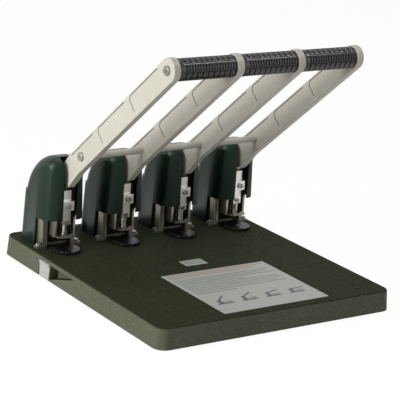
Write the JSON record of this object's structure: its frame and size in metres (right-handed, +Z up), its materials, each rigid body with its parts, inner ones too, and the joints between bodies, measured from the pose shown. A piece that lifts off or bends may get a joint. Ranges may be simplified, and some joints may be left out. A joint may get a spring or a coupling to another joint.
{
  "type": "heavy-duty hole punch",
  "caption": "Desk paper punch with a row of covered punch heads on a flat base, pressed together by one ganged lever with a ribbed rubber handle.",
  "frame": {"origin": "on the surface it stands on, under the middle of the base", "axes": "+Z up, +Y from the front edge towards the punch heads at the back, +X to the operator's right"},
  "size_m": [0.312, 0.342, 0.2928],
  "materials": {
    "base_black": "fine matte speckle",
    "floor_black": "satin black",
    "foot_rubber": "matte",
    "screw_steel": "turned",
    "pin_steel": "ground",
    "spacer_grey": "satin",
    "grip_rubber": "matte ribbed",
    "head_nickel": "bright nickel",
    "ram_nickel": "bright nickel",
    "punch_steel": "hardened ground steel",
    "spring_steel": "drawn wire",
    "disc_black": "gloss",
    "cover_black": "semi-gloss",
    "arm_grey": "satin warm grey",
    "guide_white": "satin"
  },
  "bodies": {
    "base": {"base_shell": "base_black", "base_floor": "floor_black", "floor_screws": "screw_steel", "rubber_feet": "foot_rubber", "disc_pins": "pin_steel", "frame_screws": "screw_steel", "cover_screws": "screw_steel", "pivot_pins": "pin_steel", "guide_bolts": "pin_steel", "stripper_plates": "head_nickel", "head_frame_1": "head_nickel", "head_frame_2": "head_nickel", "head_frame_3": "head_nickel", "head_frame_4": "head_nickel", "punch_guide_1": "head_nickel", "punch_guide_2": "head_nickel", "punch_guide_3": "head_nickel", "punch_guide_4": "head_nickel", "head_cover_1": "cover_black", "head_cover_2": "cover_black", "head_cover_3": "cover_black", "head_cover_4": "cover_black", "return_spring_1": "spring_steel", "return_spring_2": "spring_steel", "return_spring_3": "spring_steel", "return_spring_4": "spring_steel"},
    "lever": {"lever_arm_1": "arm_grey", "lever_arm_2": "arm_grey", "lever_arm_3": "arm_grey", "lever_arm_4": "arm_grey", "grip_1": "grip_rubber", "grip_2": "grip_rubber", "grip_3": "grip_rubber", "handle_rod": "pin_steel", "tie_rod": "pin_steel", "tie_spacers": "spacer_grey", "rod_screws": "screw_steel", "press_pads": "pin_steel"},
    "paper_guide": {"paper_bar": "guide_white"},
    "guide_stop": {"paper_stop": "guide_white"},
    "ram_1": {"ram_1": "ram_nickel", "clamp_plate_1": "ram_nickel", "punch_pin_1": "punch_steel", "ram_screws_1": "screw_steel"},
    "disc_1": {"cutting_disc_1": "disc_black"},
    "ram_2": {"ram_2": "ram_nickel", "clamp_plate_2": "ram_nickel", "punch_pin_2": "punch_steel", "ram_screws_2": "screw_steel"},
    "disc_2": {"cutting_disc_2": "disc_black"},
    "ram_3": {"ram_3": "ram_nickel", "clamp_plate_3": "ram_nickel", "punch_pin_3": "punch_steel", "ram_screws_3": "screw_steel"},
    "disc_3": {"cutting_disc_3": "disc_black"},
    "ram_4": {"ram_4": "ram_nickel", "clamp_plate_4": "ram_nickel", "punch_pin_4": "punch_steel", "ram_screws_4": "screw_steel"},
    "disc_4": {"cutting_disc_4": "disc_black"}
  },
  "joints": [
    {"name": "lever_press", "type": "hinge", "parent": "base", "child": "lever", "pos_m": [0, 0.11118, 0.09655], "axis": [1, 0, 0], "range_deg": [0, 37], "stiffness_Nm_per_rad": 6, "springref_deg": -68.75},
    {"name": "guide_slide", "type": "slide", "parent": "base", "child": "paper_guide", "axis": [-1, 0, 0], "range_m": [0, 0.11]},
    {"name": "stop_flip", "type": "hinge", "parent": "paper_guide", "child": "guide_stop", "pos_m": [-0.1548, 0.073, 0.0187], "axis": [0, 1, 0], "range_deg": [0, 180]},
    {"name": "punch_stroke_1", "type": "slide", "parent": "base", "child": "ram_1", "axis": [0, 0, -1], "range_m": [0, 0.0125], "deforming": ["return_spring_1"]},
    {"name": "disc_turn_1", "type": "hinge", "parent": "base", "child": "disc_1", "pos_m": [-0.12, 0.084, 0.027], "axis": [0, 0, 1], "continuous": true},
    {"name": "punch_stroke_2", "type": "slide", "parent": "base", "child": "ram_2", "axis": [0, 0, -1], "range_m": [0, 0.0125], "deforming": ["return_spring_2"]},
    {"name": "disc_turn_2", "type": "hinge", "parent": "base", "child": "disc_2", "pos_m": [-0.04, 0.084, 0.027], "axis": [0, 0, 1], "continuous": true},
    {"name": "punch_stroke_3", "type": "slide", "parent": "base", "child": "ram_3", "axis": [0, 0, -1], "range_m": [0, 0.0125], "deforming": ["return_spring_3"]},
    {"name": "disc_turn_3", "type": "hinge", "parent": "base", "child": "disc_3", "pos_m": [0.04, 0.084, 0.027], "axis": [0, 0, 1], "continuous": true},
    {"name": "punch_stroke_4", "type": "slide", "parent": "base", "child": "ram_4", "axis": [0, 0, -1], "range_m": [0, 0.0125], "deforming": ["return_spring_4"]},
    {"name": "disc_turn_4", "type": "hinge", "parent": "base", "child": "disc_4", "pos_m": [0.12, 0.084, 0.027], "axis": [0, 0, 1], "continuous": true}
  ],
  "couplings": [
    {"joint": "punch_stroke_1", "follows": "lever_press", "m_per_rad": 0.01935},
    {"joint": "punch_stroke_2", "follows": "lever_press", "m_per_rad": 0.01935},
    {"joint": "punch_stroke_3", "follows": "lever_press", "m_per_rad": 0.01935},
    {"joint": "punch_stroke_4", "follows": "lever_press", "m_per_rad": 0.01935}
  ]
}
